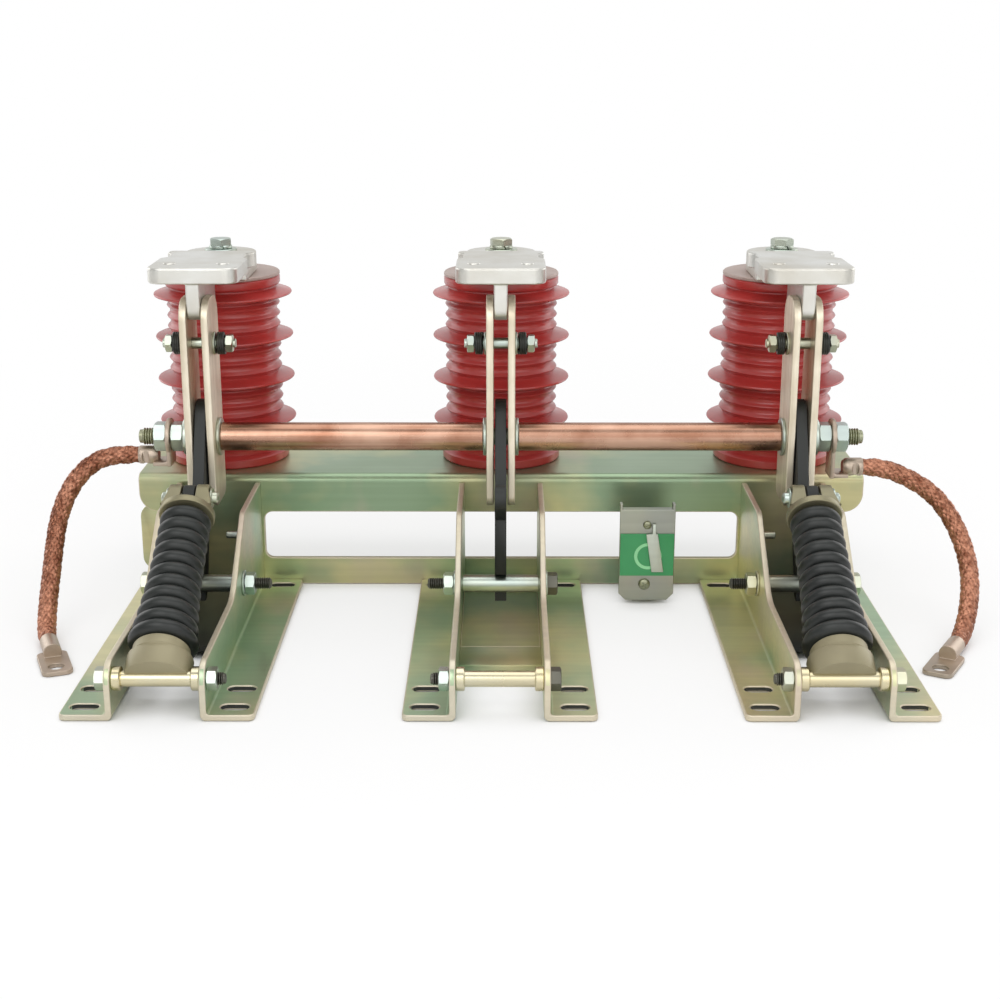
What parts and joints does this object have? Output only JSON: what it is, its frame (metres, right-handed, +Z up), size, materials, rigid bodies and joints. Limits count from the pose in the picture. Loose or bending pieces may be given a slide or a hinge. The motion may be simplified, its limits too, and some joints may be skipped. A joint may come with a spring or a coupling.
{
  "type": "indoor three-pole earthing switch",
  "caption": "Indoor earthing switch: ribbed red post insulators with fixed contacts on a bent zinc-plated base, and paired blades that swing on pivots under bellows-covered springs.",
  "frame": {"origin": "middle of the base's bottom plane, under the middle pole", "axes": "+X along the row of poles, +Y to the back where the insulators stand, +Z up"},
  "size_m": [0.6538, 0.364, 0.2535],
  "materials": {
    "zinc_sheet": "yellow zinc",
    "zinc_bolts": "bright zinc",
    "dark_spring": "blackened",
    "copper": "bare copper",
    "copper_braid": "bare braid",
    "tinned_copper": "tinned",
    "tinned_lug": "tinned",
    "cast_contact": "silvered casting",
    "insulator_cap": "satin",
    "red_resin": "gloss",
    "black_steel": "black",
    "black_rubber": "matt",
    "tan_seat": "satin",
    "indicator_metal": "satin",
    "indicator_green": "satin"
  },
  "bodies": {
    "root": {"base_frame": "zinc_sheet", "leg_floors": "zinc_sheet", "tie_rods": "zinc_bolts", "pivot_bolts": "zinc_bolts", "terminal_bolts": "zinc_bolts", "indicator_bracket": "indicator_metal", "indicator_face": "indicator_green", "indicator_pointer": "indicator_metal", "left_leg_left_plate": "zinc_sheet", "left_leg_right_plate": "zinc_sheet", "left_insulator": "red_resin", "left_insulator_cap": "insulator_cap", "left_fixed_contact": "cast_contact", "middle_leg_left_plate": "zinc_sheet", "middle_leg_right_plate": "zinc_sheet", "middle_insulator": "red_resin", "middle_insulator_cap": "insulator_cap", "middle_fixed_contact": "cast_contact", "right_leg_left_plate": "zinc_sheet", "right_leg_right_plate": "zinc_sheet", "right_insulator": "red_resin", "right_insulator_cap": "insulator_cap", "right_fixed_contact": "cast_contact", "left_braid": "copper_braid", "left_earth_lug": "tinned_lug", "right_braid": "copper_braid", "right_earth_lug": "tinned_lug"},
    "blades": {"pivot_sleeves": "zinc_bolts", "pressure_bolts": "zinc_bolts", "cross_rod": "zinc_bolts", "yoke_pins": "zinc_bolts", "pressure_springs": "dark_spring", "left_cross_tube": "copper", "right_cross_tube": "copper", "left_blades": "tinned_copper", "left_swing_arm": "black_steel", "middle_blades": "tinned_copper", "middle_swing_arm": "black_steel", "right_blades": "tinned_copper", "right_swing_arm": "black_steel", "left_upper_lug": "tinned_lug", "right_upper_lug": "tinned_lug"},
    "left_seat": {"left_spring_seat": "tan_seat", "left_spring_bellows": "black_rubber"},
    "left_yoke": {"left_spring_yoke": "zinc_bolts"},
    "right_seat": {"right_spring_seat": "tan_seat", "right_spring_bellows": "black_rubber"},
    "right_yoke": {"right_spring_yoke": "zinc_bolts"}
  },
  "joints": [
    {"name": "blade_swing", "type": "hinge", "parent": "root", "child": "blades", "pos_m": [0, -0.027, 0.034], "axis": [1, 0, 0], "range_deg": [0, 90], "deforming": ["left_spring_bellows", "right_spring_bellows", "left_braid", "right_braid"]},
    {"name": "left_seat_turn", "type": "hinge", "parent": "root", "child": "left_seat", "pos_m": [-0.21, -0.172, 0.024], "axis": [1, 0, 0], "range_deg": [-32.61, 0.5]},
    {"name": "left_yoke_turn", "type": "hinge", "parent": "blades", "child": "left_yoke", "pos_m": [-0.21, -0.04, 0.1], "axis": [1, 0, 0], "range_deg": [-122.61, 0.5]},
    {"name": "right_seat_turn", "type": "hinge", "parent": "root", "child": "right_seat", "pos_m": [0.21, -0.172, 0.024], "axis": [1, 0, 0], "range_deg": [-32.61, 0.5]},
    {"name": "right_yoke_turn", "type": "hinge", "parent": "blades", "child": "right_yoke", "pos_m": [0.21, -0.04, 0.1], "axis": [1, 0, 0], "range_deg": [-122.61, 0.5]}
  ],
  "couplings": [
    {"joint": "left_seat_turn", "follows": "blade_swing", "ratio": -0.35673},
    {"joint": "left_yoke_turn", "follows": "blade_swing", "ratio": -1.3567},
    {"joint": "right_seat_turn", "follows": "blade_swing", "ratio": -0.35673},
    {"joint": "right_yoke_turn", "follows": "blade_swing", "ratio": -1.3567}
  ]
}
